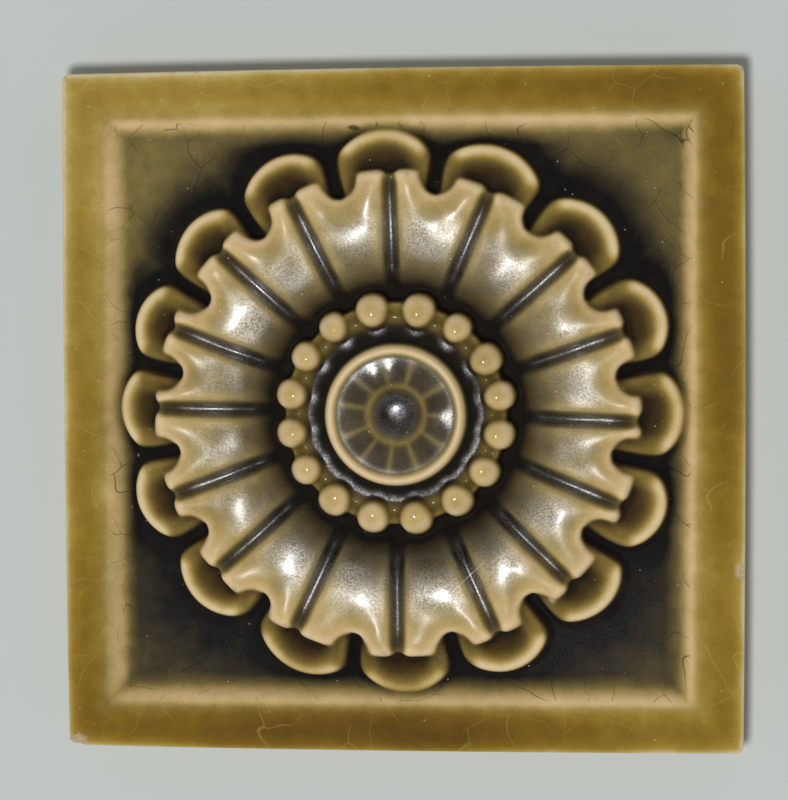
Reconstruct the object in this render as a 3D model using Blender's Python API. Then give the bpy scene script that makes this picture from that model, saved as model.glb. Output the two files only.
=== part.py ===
"""A square earthenware wall tile, pressed in one piece, with a sixteen-petalled rosette in relief.

The tile lies on its back. The origin is the middle of the flat back, +Z points out of the glazed face
and +Y is the top of the face. Sizes are in millimetres until the mesh is made, and angles are in degrees
counted from +X towards +Y.
"""

import math

import bmesh
import bpy
import numpy as np

MM = 0.001

# The slab
TILE_SIDE = 152.0
BORDER_HEIGHT = 12.0
BORDER_WIDTH = 10.0
FIELD_DEPTH = 4.0
SHOULDER_WIDTH = 5.0
ARRIS_ROUND = 0.8
CORNER_ROUND = 1.6
BACK_DRAFT = 1.0

# How far each corner was pulled off a true square when the clay shrank: x and y of the top right,
# top left, bottom left and bottom right corner
OUTER_PULL = ((0.3, 1.2), (0.0, -0.2), (0.0, 0.1), (0.4, -0.1))
INNER_PULL = ((0.0, 0.2), (-0.3, -0.8), (-1.1, -0.1), (-1.0, 0.6))
SIDE_BOW = 0.4

# Widths across the rosette from its centre outwards. They share out its radius between them.
PIT_WIDTH = 5.3
PIT_LIP_WIDTH = 1.1
SAUCER_WIDTH = 7.1
CUP_INNER_WIDTH = 1.0
CUP_OUTER_WIDTH = 2.1
CHANNEL_WIDTH = 1.7
COLLAR_RISE_WIDTH = 1.6
BEAD_LENGTH = 7.3
COLLAR_WALL_WIDTH = 0.7
PETAL_SLOPE_WIDTH = 14.7
PETAL_BROW_WIDTH = 11.8
LOBE_REACH = 8.7
ROSETTE_CLEARANCE = 2.9

# Rises of the relief above the floor of the recessed field
PIT_RISE = 4.6
PIT_LIP_RISE = 7.7
SAUCER_RISE = 10.3
CUP_RISE = 11.5
CHANNEL_RISE = 5.2
CHANNEL_LEAN = 0.15
COLLAR_RISE = 6.5
BEAD_RISE = 10.0
BEAD_EDGE_RISE = 5.8
FOOT_RISE = 1.6
PETAL_RISE = 8.2
DISH_RISE = 1.8
LOBE_RISE = 5.2

# The ring of petals: angle of each groove, and angle and depth of the notch in the petal after it
GROOVE_DEG = (-1.5, 20, 42, 67, 91.5, 116, 137.5, 159, 178.5, 200, 221, 244.5, 270, 294.5, 316, 338)
NOTCH_DEG = (9, 30.5, 53.5, 80, 104, 126.5, 150, 170, 190, 210, 233, 258.5, 283.5, 305.5, 329, 350)
NOTCH_DEPTH = (5.0, 5.4, 4.4, 4.8, 5.1, 5.3, 5.8, 5.5, 4.8, 4.6, 4.1, 4.2, 4.2, 4.7, 5.9, 5.9)
NOTCH_RADIUS = 4.4
TIP_ROUND = 0.45
GROOVE_HALF_WIDTH = 2.4
GROOVE_FLOOR = 0.5
GROOVE_DEPTH = 1.6
GROOVE_START = 0.4
GROOVE_MOUTH = 0.9
GROOVE_MOUTH_WIDTH = 1.5
STEEP_RISE = 3.0
STEEP_WIDTH = 8.5
LEVEL_SHARE = 0.14
EDGE_ROUND = 1.3
EDGE_FALL = 0.6
BROW_DIP = 0.6
PETAL_BULGE = 1.0
HORN_SHARE = 0.6
HORN_ROUND = 0.8
WALL_SLOPE_WIDTH = 0.7

# The ring of lobes behind the petals, one behind each groove, and the ring of beads, one to each petal
LOBE_DEG = (0, 21.5, 44, 68, 93.5, 117, 139, 159.5, 179, 200, 222, 247.5, 271, 295, 317, 338)
LOBE_RADIUS = (12, 11.2, 12.4, 14, 13, 11.6, 11.5, 10.4, 11.1, 10.8, 11.6, 12.7, 11.9, 11.2, 11.8, 10.6)
LOBE_RIM_WIDTH = 1.3
LOBE_RIM_FALL = 0.5
LOBE_DISH_WIDTH = 8.0
GAP_WIDTH = 3.2
BEAD_DEG = (10, 31, 54, 77, 102.5, 125.5, 147.5, 169.5, 190.5, 212, 234.5, 257.5, 281, 305.5, 327, 349)
BEAD_SIZE = (0.97, 1.02, 0.92, 1.06, 1.05, 0.93, 0.94, 0.98, 0.97, 0.97, 1.05, 1.03, 1.06, 1.03, 0.97, 0.97)
BEAD_HALF_WIDTH = 3.6
BEAD_TILT = 0.15
WEB_SHARE = 0.35
WEB_DIP = 0.9

# The saucer in the cup: the thin ribs between its dimples
RIB_DEG = (0, 32, 72, 103, 137, 168, 203, 232, 263, 292, 327)
DIMPLE_DEPTH = 0.35

# The rings aren't quite concentric. Each offset is x and y from the tile's middle.
CUP_OFFSET = (-0.65, -0.1)
BEAD_OFFSET = (-1.0, -0.05)
PETAL_OFFSET = (-0.75, -0.2)
LOBE_OFFSET = (0.0, 0.2)

# How finely the surface is cut into faces: columns, points and where rings lie between two others
COLUMNS_PER_RIB = 4
SAUCER_RING_SHARES = (0.22, 0.5, 0.8)
COLLAR_RING_SHARES = (0, 0.22, 0.48, 0.76, 1)
PETAL_RING_SHARES = (0.3, 0.6)
OUTLINE_POINTS_PER_SIDE = 4
OUTLINE_POINTS_PER_CORNER = 4
RING_GAP = 0.25

FIELD_HEIGHT = BORDER_HEIGHT - FIELD_DEPTH
PETALS = len(GROOVE_DEG)
ROSETTE_RADIUS = TILE_SIDE / 2 - BORDER_WIDTH - ROSETTE_CLEARANCE
WIDTHS = (
    PIT_WIDTH,
    PIT_LIP_WIDTH,
    SAUCER_WIDTH,
    CUP_INNER_WIDTH,
    CUP_OUTER_WIDTH,
    CHANNEL_WIDTH,
    COLLAR_RISE_WIDTH,
    BEAD_LENGTH,
    COLLAR_WALL_WIDTH,
    PETAL_SLOPE_WIDTH,
    PETAL_BROW_WIDTH,
    LOBE_REACH,
)
SCALE = ROSETTE_RADIUS / sum(WIDTHS)
(
    PIT_R,
    PIT_LIP_R,
    SAUCER_R,
    CUP_R,
    CUP_FOOT_R,
    CHANNEL_R,
    COLLAR_R,
    BEAD_END_R,
    FOOT_R,
    CREST_R,
    TIP_R,
    LOBE_R,
) = np.cumsum(WIDTHS) * SCALE
LEVEL_R = CREST_R + LEVEL_SHARE * PETAL_BROW_WIDTH * SCALE
BEAD_R = (COLLAR_R + BEAD_END_R) / 2
BEAD_LONG = (BEAD_END_R - COLLAR_R) / 2
WEB_R = BEAD_R + BEAD_LONG * WEB_SHARE

# What each sector's columns of vertices measure from
GROOVES = np.array(GROOVE_DEG, float)
NOTCHES = np.array(NOTCH_DEG, float)
LOBES = np.array(LOBE_DEG, float)
LOBE_RADII = np.array(LOBE_RADIUS) * SCALE
BEADS = np.array(BEAD_DEG, float)
BEAD_SIZES = np.array(BEAD_SIZE, float)


def after(angles):
    """Each sector's far edge: the next of these angles, one turn on for the last."""
    return np.append(angles[1:], angles[0] + 360)


def before(angles):
    """The angle before each of these, one turn back for the first."""
    return np.append(angles[-1] - 360, angles[:-1])


def smooth(t):
    """A level start, a level end and an even climb from 0 to 1 between them."""
    t = np.clip(t, 0, 1)
    return t * t * (3 - 2 * t)


def climb(r, start, end, low, high):
    """The smooth rise from low at radius start to high at radius end."""
    return low + (high - low) * smooth((r - start) / (end - start))


def fall(r, start, end, high, low):
    """The fall from a broad round crest at start to a level foot at end."""
    return high - (high - low) * smooth(np.clip((r - start) / (end - start), 0, 1) ** 1.5)


def columns(edges, middles, shares):
    """Angles of all columns of a ring: from each sector's edge to its middle by shares, and back."""
    shares = np.atleast_2d(shares)
    ends = after(edges)
    up = edges[:, None] + (middles - edges)[:, None] * shares[:, :-1]
    down = ends[:, None] + (middles - ends)[:, None] * shares[:, :0:-1]
    return np.hstack([up, down]).ravel()


def per_column(edges, middles):
    """For every column, the sector edge on its side and the sector's middle."""
    half = len(LOBE_SHARES) - 1
    near = np.hstack([np.repeat(edges[:, None], half, 1), np.repeat(after(edges)[:, None], half, 1)])
    return near.ravel(), np.repeat(middles, 2 * half)


def arc(r, angles, centres):
    """The distance along the circle of radius r from centres to angles."""
    return r * np.radians(angles - centres)


# Where the columns of half a sector stand, as shares of the way from its edge to its middle
HALF_SECTOR = math.pi * TIP_R / PETALS
MOUTH = NOTCH_RADIUS / HALF_SECTOR
BEAD_SIDES = BEAD_SIZES[:, None] * BEAD_HALF_WIDTH / (math.pi * BEAD_R / PETALS)
BEAD_SHARES = np.hstack([0 * BEAD_SIDES, (1 - BEAD_SIDES) / 2, 1 - BEAD_SIDES * (1, 0.9, 0.7, 0.4, 0)])
SLOPE_SHARES = (0, 0.24, 0.38, 0.52, 0.66, 0.82, 1)
LIP_SHARE = GROOVE_HALF_WIDTH / HALF_SECTOR
OUTLINE_SHARES = (
    0,
    LIP_SHARE,
    (LIP_SHARE + 1 - MOUTH) / 2,
    1 - 1.05 * MOUTH,
    1 - 0.96 * MOUTH,
    1 - 0.62 * MOUTH,
    1,
)
LOBE_SHARES = (0, 0.2, 0.4, 0.58, 0.74, 0.88, 1)


def cup_height(r, angles):
    """The pit, its lip, the dimpled saucer and the cup's rim, down to the channel round it."""
    pit = PIT_RISE + (PIT_LIP_RISE - PIT_RISE) * (np.minimum(r, PIT_LIP_R) / PIT_LIP_R) ** 2
    along = np.clip((r - PIT_LIP_R) / (SAUCER_R - PIT_LIP_R), 0, 1)
    saucer = SAUCER_RISE - (SAUCER_RISE - PIT_LIP_RISE) * (1 - along) ** 2
    rim = fall(-r, -CUP_R, -SAUCER_R, CUP_RISE, SAUCER_RISE)
    channel = CHANNEL_RISE + CHANNEL_LEAN * (CHANNEL_R - np.clip(r, CUP_FOOT_R, CHANNEL_R))
    outside = fall(r, CUP_R, CUP_FOOT_R, CUP_RISE, channel)
    ribs = np.array(RIB_DEG, float)
    place = np.mod(angles - ribs[0], 360) + ribs[0]
    share = np.interp(place, np.append(ribs, ribs[0] + 360), np.arange(len(ribs) + 1))
    across = np.abs(np.sin(math.pi * share))
    saucer -= DIMPLE_DEPTH * across * np.sin(math.pi * along) ** 2
    inner = np.where(r < PIT_LIP_R, pit, np.where(r < SAUCER_R, saucer, rim))
    return FIELD_HEIGHT + np.where(r < CUP_R, inner, outside)


def collar_outline(angles):
    """The beads' outer ends, joined by the web between them."""
    side = arc(BEAD_R, angles, BEAD_AT) / BEAD_HALF_WIDTH
    bead = BEAD_R + BEAD_LONG * np.sqrt(np.clip(SIZE_AT**2 - side**2, 0, None))
    return np.maximum(WEB_R, bead)


def collar_height(r, angles):
    """The collar that rises from the channel, hollow between the beads that stand on it."""
    out = np.clip((r - CHANNEL_R) / (COLLAR_R + 0.3 * BEAD_LONG - CHANNEL_R), 0, 1)
    collar = CHANNEL_RISE + (COLLAR_RISE - CHANNEL_RISE) * np.sin(math.pi / 2 * out)
    collar = collar - climb(r, BEAD_R, BEAD_END_R, 0, COLLAR_RISE - BEAD_EDGE_RISE)
    side = arc(BEAD_R, angles, BEAD_AT) / BEAD_HALF_WIDTH
    collar = collar - WEB_DIP * smooth((np.abs(side) - 0.6) / 0.8) * smooth((r - COLLAR_R) / BEAD_LONG)
    dome = np.sqrt(np.clip(1 - (side**2 + ((r - BEAD_R) / BEAD_LONG) ** 2) / SIZE_AT**2, 0, 1))
    bead = BEAD_EDGE_RISE + (BEAD_RISE - BEAD_EDGE_RISE) * dome - BEAD_TILT * (r - BEAD_R) * (dome > 0)
    return FIELD_HEIGHT + np.maximum(collar, np.where(dome > 0, bead, 0))


def tip_line(angles):
    """How far out the petals' tips reach: less where a groove runs out and at the corners of the notches."""
    mouth = GROOVE_MOUTH * np.exp(-((arc(TIP_R, angles, GROOVE_AT) / GROOVE_MOUTH_WIDTH) ** 2))
    side = np.abs(arc(TIP_R, angles, NOTCH_AT)) / NOTCH_RADIUS
    return TIP_R - mouth - TIP_ROUND * np.clip((1.3 - side) / 0.3, 0, 1) ** 2


def petal_outline(angles):
    """The petals' outer edge: the tips' line with a round bite out of the middle of each petal."""
    centre = NOTCH_BOTTOM + NOTCH_RADIUS
    side = np.abs(arc(TIP_R, angles, NOTCH_AT)) / NOTCH_RADIUS
    bite = centre - NOTCH_RADIUS * np.sqrt(np.clip(1 - side**2, 0, 1))
    return np.where(side < 1, np.minimum(bite, tip_line(angles)), tip_line(angles))


def petal_height(r, angles):
    """The petals: up from the foot to a gentle brow, on along the horns and down into each notch."""
    slope = np.clip((r - FOOT_R) / (LEVEL_R - FOOT_R), 0, 1)
    steep = np.clip((r - FOOT_R) / STEEP_WIDTH, 0, 1)
    height = FOOT_RISE + STEEP_RISE * (1 - (1 - steep) ** 3)
    height = height + (PETAL_RISE - FOOT_RISE - STEEP_RISE) * (1 - (1 - slope) ** 2)
    side = np.abs(arc(r, angles, GROOVE_AT))
    aside = 1 - side / np.abs(arc(r, NOTCH_AT, GROOVE_AT))
    horns = smooth((r - CREST_R) / (NOTCH_BOTTOM - CREST_R))
    height = height - PETAL_BULGE * aside**2 * (1 - horns)
    height = height - BROW_DIP * horns * (1 - smooth(aside / HORN_SHARE))
    up = np.minimum(r - NOTCH_BOTTOM - NOTCH_RADIUS, 0)
    to_notch = np.hypot(up, arc(TIP_R, angles, NOTCH_AT)) - NOTCH_RADIUS
    to_edge = np.clip(np.minimum(tip_line(angles) - r, to_notch), 0, None)
    to_groove = np.clip(side - GROOVE_HALF_WIDTH / 2, 0, None)
    across_horn = to_edge / (to_edge + to_groove + 0.01)
    height = height - HORN_ROUND * horns * (2 * across_horn - 1) ** 2
    wall = (side - GROOVE_FLOOR) / (GROOVE_HALF_WIDTH - GROOVE_FLOOR)
    height = height - GROOVE_DEPTH * (1 - smooth(wall)) * smooth(slope / GROOVE_START)
    return FIELD_HEIGHT + height - EDGE_FALL * (1 - np.clip(to_edge / EDGE_ROUND, 0, 1)) ** 2


def inside_lobe(r, angles):
    """How far inside the edge of its lobe each point is, or from the gap between two lobes if that is nearer."""
    found = []
    for lobe, radius in ((LOBE_BEFORE, RADIUS_BEFORE), (LOBE_AFTER, RADIUS_AFTER)):
        turn = np.radians(angles - lobe)
        found.append(radius - np.hypot(r * np.cos(turn) - (LOBE_R - radius), r * np.sin(turn)))
    to_gap = np.abs(arc(r, angles, (LOBE_BEFORE + LOBE_AFTER) / 2)) - GAP_WIDTH / 2
    return np.minimum(np.maximum(*found), to_gap)


def lobe_outline(angles):
    """The scalloped outer edge of the lobes, each one a round arc."""
    found = []
    for lobe, radius in ((LOBE_BEFORE, RADIUS_BEFORE), (LOBE_AFTER, RADIUS_AFTER)):
        turn = np.radians(angles - lobe)
        centre = LOBE_R - radius
        chord = np.clip(radius**2 - (centre * np.sin(turn)) ** 2, 0, None)
        found.append(centre * np.cos(turn) + np.sqrt(chord))
    return np.maximum(*found)


def lobe_height(r, angles):
    """The lobes: each a shallow dish that rises to a rounded rim, with gaps down to the field between them."""
    inside = inside_lobe(r, angles)
    up = climb(-inside, -LOBE_DISH_WIDTH, -LOBE_RIM_WIDTH, DISH_RISE, LOBE_RISE)
    down = LOBE_RIM_FALL * np.clip(1 - inside / LOBE_RIM_WIDTH, 0, 1) ** 2
    in_gap = smooth((-inside - 0.1) / GAP_WIDTH * 2)
    return FIELD_HEIGHT + (up - down) * (1 - in_gap)


# For every column of vertices, the features on either side of it
COLUMNS_PER_SECTOR = 2 * (len(LOBE_SHARES) - 1)
BEAD_AT = np.repeat(BEADS, COLUMNS_PER_SECTOR)
SIZE_AT = np.repeat(BEAD_SIZES, COLUMNS_PER_SECTOR)
GROOVE_AT, NOTCH_AT = per_column(GROOVES, NOTCHES)
NOTCH_BOTTOM = np.repeat(TIP_R - np.array(NOTCH_DEPTH) * SCALE, COLUMNS_PER_SECTOR)
LOBE_BEFORE = np.repeat(LOBES, COLUMNS_PER_SECTOR)
LOBE_AFTER = np.repeat(after(LOBES), COLUMNS_PER_SECTOR)
RADIUS_BEFORE = np.repeat(LOBE_RADII, COLUMNS_PER_SECTOR)
RADIUS_AFTER = np.repeat(np.roll(LOBE_RADII, -1), COLUMNS_PER_SECTOR)


def ring_offset(r):
    """How far the ring of radius r is off the tile's middle."""
    places = (CUP_R, COLLAR_R, BEAD_END_R, CREST_R, TIP_R, LOBE_R)
    x, y = zip(CUP_OFFSET, BEAD_OFFSET, BEAD_OFFSET, PETAL_OFFSET, PETAL_OFFSET, LOBE_OFFSET)
    return np.interp(r, places, x), np.interp(r, places, y)


def placed(r, angles, heights):
    """Points of a ring of the rosette, an array of x, y and z."""
    turn = np.radians(angles)
    dx, dy = ring_offset(r)
    return np.stack([dx + r * np.cos(turn), dy + r * np.sin(turn), heights + 0 * turn], 1)


def cup_rings():
    """The rings inside the channel, from the centre outwards, with a few columns to each rib."""
    ribs = np.array(RIB_DEG, float)
    steps = np.arange(COLUMNS_PER_RIB) / COLUMNS_PER_RIB
    angles = (ribs[:, None] + (after(ribs) - ribs)[:, None] * steps).ravel()
    radii = [PIT_R / 2, PIT_R, PIT_LIP_R]
    radii += [PIT_LIP_R + share * (SAUCER_R - PIT_LIP_R) for share in SAUCER_RING_SHARES]
    radii += [SAUCER_R, (SAUCER_R + CUP_R) / 2, CUP_R, (CUP_R + CUP_FOOT_R) / 2, CUP_FOOT_R]
    return [placed(np.full(len(angles), r), angles, cup_height(r, angles)) for r in radii]


def between(inner, outer, share):
    """A ring at this share of the way between two rings, each given as radii and angles."""
    return tuple(a + (b - a) * share for a, b in zip(inner, outer))


def pushed_out(ring, distance):
    """The ring of these radii and angles moved outwards, square to its own line."""
    r, angles = ring
    points = r * np.exp(1j * np.radians(angles))
    along = np.roll(points, -1) - np.roll(points, 1)
    moved = points - 1j * distance * along / np.abs(along)
    return np.abs(moved), angles + np.degrees(np.angle(moved / points))


def rosette_rings():
    """The rings of the collar, the petals and the lobes, from the channel outwards."""
    gaps = (before(BEADS) + BEADS) / 2
    bead_angles = columns(gaps, BEADS, BEAD_SHARES)
    rings = [placed(np.full(len(bead_angles), CHANNEL_R), bead_angles, CHANNEL_RISE + FIELD_HEIGHT)]
    collar_end = collar_outline(bead_angles)
    collar = (np.full(len(collar_end), COLLAR_R), bead_angles)
    for share in COLLAR_RING_SHARES:
        ring = between(collar, (collar_end, bead_angles), share)
        rings.append(placed(*ring, collar_height(*ring)))

    slope_angles = columns(GROOVES, NOTCHES, SLOPE_SHARES)
    tip_angles = columns(GROOVES, NOTCHES, OUTLINE_SHARES)
    foot = (collar_end + (FOOT_R - BEAD_END_R), bead_angles)
    middle = (np.full(len(collar_end), (FOOT_R + CREST_R) / 2), slope_angles)
    edge = (petal_outline(tip_angles), tip_angles)
    petals = [foot, between(foot, middle, 0.5), middle]
    petals += [between(middle, edge, share) for share in PETAL_RING_SHARES]
    petals += [(edge[0] - EDGE_ROUND, tip_angles), edge]
    rings += [placed(*ring, petal_height(*ring)) for ring in petals]

    lobe_angles = columns(LOBES, (LOBES + after(LOBES)) / 2, LOBE_SHARES)
    wall_foot = pushed_out(edge, WALL_SLOPE_WIDTH)
    rim = (lobe_outline(lobe_angles), lobe_angles)
    crest = pushed_out(rim, -LOBE_RIM_WIDTH)
    crest = (np.maximum(crest[0], wall_foot[0] + 2 * RING_GAP), crest[1])
    lobes = [wall_foot, between(wall_foot, crest, 0.5), crest, rim]
    rings += [placed(*ring, lobe_height(*ring)) for ring in lobes]
    field_foot = placed(*pushed_out(rim, WALL_SLOPE_WIDTH), 0)
    field_foot[:, 2] = frame_height(field_foot[:, 0], field_foot[:, 1])
    return rings + [field_foot]


def corners(inset, pulls):
    """The four corners of the square this far inside the tile's edge, each with its pull."""
    half = TILE_SIDE / 2 - inset
    signs = ((1, 1), (-1, 1), (-1, -1), (1, -1))
    return np.array([(sx * half + px, sy * half + py) for (sx, sy), (px, py) in zip(signs, pulls)])


def sides(quad):
    """The outward normals of the four sides of a square, and how far out along them the sides lie."""
    run = np.roll(quad, -1, 0) - quad
    normals = np.stack([run[:, 1], -run[:, 0]], 1) / np.hypot(run[:, 0], run[:, 1])[:, None]
    return normals, (normals * quad).sum(1)


def frame_height(x, y):
    """The border's top, the shoulder inside it and the floor of the field."""
    normals, far = sides(corners(BORDER_WIDTH, INNER_PULL))
    inside = np.min([f - n[0] * x - n[1] * y for n, f in zip(normals, far)], 0)
    return BORDER_HEIGHT - FIELD_DEPTH * smooth(inside / SHOULDER_WIDTH)


def square_ring(inset, turn):
    """The square this far inside the border's inner edge: a point at each angle, and one at each corner."""
    quad = corners(BORDER_WIDTH + inset, INNER_PULL)
    normals, far = sides(quad)
    ray = np.stack([np.cos(turn), np.sin(turn)], 1)
    outward = np.clip(ray @ normals.T, 1e-9, None)
    points = ray * np.min(far / outward, 1)[:, None]
    for corner in corners(BORDER_WIDTH, INNER_PULL):
        nearest = np.argmax(ray @ corner)
        points[nearest] = quad[np.argmax(quad @ corner)]
    return points


def frame_rings(foot):
    """The rings from the foot of the lobes to the border's inner edge, kept clear of the lobes."""
    reach = np.hypot(foot[:, 0], foot[:, 1])
    turn = np.arctan2(foot[:, 1], foot[:, 0])
    rings = []
    for number, inset in enumerate((SHOULDER_WIDTH, SHOULDER_WIDTH / 2, 0), start=1):
        square = square_ring(inset, turn)
        out = np.maximum(1, (reach + number * RING_GAP) / np.hypot(square[:, 0], square[:, 1]))
        x, y = (square * out[:, None]).T
        rings.append(np.stack([x, y, frame_height(x, y)], 1))
    return rings


def outline(inset, height):
    """The tile's outline at this height, this far in from its edge, with rounded corners."""
    quad = corners(inset, OUTER_PULL)
    points = []
    for k in range(4):
        here, last, following = quad[k], quad[k - 1], quad[(k + 1) % 4]
        back = (last - here) / np.hypot(*(last - here))
        ahead = (following - here) / np.hypot(*(following - here))
        for step in range(OUTLINE_POINTS_PER_CORNER):
            turn = math.pi / 2 * step / (OUTLINE_POINTS_PER_CORNER - 1)
            points.append(here + CORNER_ROUND * ((1 - math.sin(turn)) * back + (1 - math.cos(turn)) * ahead))
        for step in range(1, OUTLINE_POINTS_PER_SIDE):
            share = step / OUTLINE_POINTS_PER_SIDE
            points.append(here + (following - here) * share)
    points = np.array(points)
    across, along = points.T / (TILE_SIDE / 2)
    bow = SIDE_BOW * np.stack([across**3 * (1 - along**2), along**3 * (1 - across**2)], 1)
    return np.column_stack([points + bow, np.full(len(points), height)])


def slab_rings():
    """The border's rounded arris, the side and the edge of the back."""
    return [
        outline(ARRIS_ROUND, BORDER_HEIGHT),
        outline(0.3 * ARRIS_ROUND, BORDER_HEIGHT - 0.3 * ARRIS_ROUND),
        outline(0, BORDER_HEIGHT - ARRIS_ROUND),
        outline(BACK_DRAFT, 0),
    ]


def from_angle_zero(ring):
    """The ring's vertices in order of angle, counted from +X, and those angles."""
    turn = [math.atan2(vertex.co.y, vertex.co.x) % (2 * math.pi) for vertex in ring]
    first = turn.index(min(turn))
    return ring[first:] + ring[:first], turn[first:] + turn[:first]


def bridge(mesh, inner, outer):
    """Faces between two rings of vertices, as quads where the rings match and as triangles where not."""
    if len(inner) == len(outer):
        for k in range(len(inner)):
            after_k = (k + 1) % len(inner)
            mesh.faces.new((inner[k], outer[k], outer[after_k], inner[after_k]))
        return
    inner, inner_turn = from_angle_zero(inner)
    outer, outer_turn = from_angle_zero(outer)
    a = b = 0
    while a < len(inner) or b < len(outer):
        next_inner = inner_turn[a + 1] if a + 1 < len(inner) else inner_turn[0] + 2 * math.pi
        next_outer = outer_turn[b + 1] if b + 1 < len(outer) else outer_turn[0] + 2 * math.pi
        here, there = inner[a % len(inner)], outer[b % len(outer)]
        if b >= len(outer) or (a < len(inner) and next_inner <= next_outer):
            a += 1
            mesh.faces.new((here, there, inner[a % len(inner)]))
        else:
            b += 1
            mesh.faces.new((here, there, outer[b % len(outer)]))


def tile_mesh():
    """The closed surface of the tile, from the middle of its face round to the middle of its back."""
    rings = cup_rings()
    rosette = rosette_rings()
    rings += rosette
    rings += frame_rings(rosette[-1])
    rings += slab_rings()
    mesh = bmesh.new()
    loops = [[mesh.verts.new(point * MM) for point in points] for points in rings]
    centre = mesh.verts.new((*[value * MM for value in CUP_OFFSET], cup_height(0.0, 0.0) * MM))
    back = mesh.verts.new((0, 0, 0))
    for inner, outer in zip(loops, loops[1:]):
        bridge(mesh, inner, outer)
    for k in range(len(loops[0])):
        mesh.faces.new((centre, loops[0][k], loops[0][(k + 1) % len(loops[0])]))
    for k in range(len(loops[-1])):
        mesh.faces.new((back, loops[-1][(k + 1) % len(loops[-1])], loops[-1][k]))
    return mesh


def glaze():
    """Amber majolica glaze over buff clay."""
    material = bpy.data.materials.new("amber_glaze")
    material.use_nodes = True
    shader = material.node_tree.nodes["Principled BSDF"]
    shader.inputs["Base Color"].default_value = (0.32, 0.22, 0.06, 1)
    shader.inputs["Roughness"].default_value = 0.2
    shader.inputs["Metallic"].default_value = 0
    return material


def make_tile():
    """The tile as one object, shaded smooth over its relief and sharp at its back edge."""
    data = bpy.data.meshes.new("tile")
    mesh = tile_mesh()
    mesh.to_mesh(data)
    mesh.free()
    data.shade_smooth()
    data.set_sharp_from_angle(angle=math.radians(50))
    data.materials.append(glaze())
    tile = bpy.data.objects.new("tile", data)
    bpy.context.scene.collection.objects.link(tile)


for old in list(bpy.data.objects):
    bpy.data.objects.remove(old)
make_tile()
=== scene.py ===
"""The relief tile dressed for its picture: its fine relief, its glaze, the light and the camera.

Sizes are in millimetres and angles in degrees counted from +X towards +Y, until the mesh is made.
"""

import math

import bpy
import numpy as np
from mathutils import Matrix, Vector


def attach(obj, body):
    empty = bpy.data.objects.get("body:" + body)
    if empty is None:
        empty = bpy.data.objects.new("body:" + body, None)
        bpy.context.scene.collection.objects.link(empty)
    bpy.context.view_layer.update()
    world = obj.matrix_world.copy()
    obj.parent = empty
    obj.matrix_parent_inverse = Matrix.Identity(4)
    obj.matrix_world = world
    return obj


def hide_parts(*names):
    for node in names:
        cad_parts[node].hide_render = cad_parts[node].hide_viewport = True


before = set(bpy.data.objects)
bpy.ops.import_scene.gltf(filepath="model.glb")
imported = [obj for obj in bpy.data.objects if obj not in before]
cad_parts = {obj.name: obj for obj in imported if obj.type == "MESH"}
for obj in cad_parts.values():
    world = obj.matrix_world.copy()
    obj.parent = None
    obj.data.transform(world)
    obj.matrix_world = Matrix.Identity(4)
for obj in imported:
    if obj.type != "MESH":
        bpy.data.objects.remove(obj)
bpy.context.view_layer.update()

MM = 0.001

# The slab, as in the CAD model
TILE_SIDE = 152.0
BORDER_HEIGHT = 12.0
BORDER_WIDTH = 10.0
FIELD_DEPTH = 4.0
SHOULDER_WIDTH = 5.0
ARRIS_ROUND = 0.8
CORNER_ROUND = 1.6
BACK_DRAFT = 1.0
OUTER_PULL = ((0.3, 1.2), (0.0, -0.2), (0.0, 0.1), (0.4, -0.1))
SIDE_BOW = 0.4
INNER_PULL = ((0.0, 0.2), (-0.3, -0.8), (-1.1, -0.1), (-1.0, 0.6))

# Widths across the rosette from its centre outwards
PIT_WIDTH = 5.3
PIT_LIP_WIDTH = 1.1
SAUCER_WIDTH = 7.1
CUP_INNER_WIDTH = 1.0
CUP_OUTER_WIDTH = 2.1
CHANNEL_WIDTH = 1.7
COLLAR_RISE_WIDTH = 1.6
BEAD_LENGTH = 7.3
COLLAR_WALL_WIDTH = 0.7
PETAL_SLOPE_WIDTH = 14.7
PETAL_BROW_WIDTH = 11.8
LOBE_REACH = 8.7

# Rises of the relief above the floor of the field
PIT_RISE = 4.6
PIT_LIP_RISE = 7.7
SAUCER_RISE = 10.3
CUP_RISE = 11.5
CHANNEL_RISE = 5.2
CHANNEL_LEAN = 0.15
COLLAR_RISE = 6.5
BEAD_RISE = 10.0
BEAD_EDGE_RISE = 5.8
FOOT_RISE = 1.6
PETAL_RISE = 8.2
DISH_RISE = 1.8
LOBE_RISE = 5.2

# The ring of petals
GROOVES = np.array((-1.5, 20, 42, 67, 91.5, 116, 137.5, 159, 178.5, 200, 221, 244.5, 270, 294.5, 316, 338))
NOTCHES = np.array((9, 30.5, 53.5, 80, 104, 126.5, 150, 170, 190, 210, 233, 258.5, 283.5, 305.5, 329, 350))
NOTCH_DEPTH = (5.0, 5.4, 4.4, 4.8, 5.1, 5.3, 5.8, 5.5, 4.8, 4.6, 4.1, 4.2, 4.2, 4.7, 5.9, 5.9)
NOTCH_RADIUS = 4.4
NOTCH_FLARE = 0.05
TIP_ROUND = 0.7
GROOVE_HALF_WIDTH = 2.4
GROOVE_FLOOR = 0.5
GROOVE_DEPTH = 1.6
GROOVE_START = 0.4
GROOVE_MOUTH = 0.9
GROOVE_MOUTH_WIDTH = 1.5
STEEP_RISE = 3.0
STEEP_WIDTH = 8.5
LEVEL_SHARE = 0.14
EDGE_ROUND = 1.3
EDGE_FALL = 0.6
BROW_DIP = 0.6
PETAL_BULGE = 1.0
HORN_SHARE = 0.6
HORN_ROUND = 0.8
WALL_SLOPE_WIDTH = 0.7
PETAL_UNEVENNESS = 0.2

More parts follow.
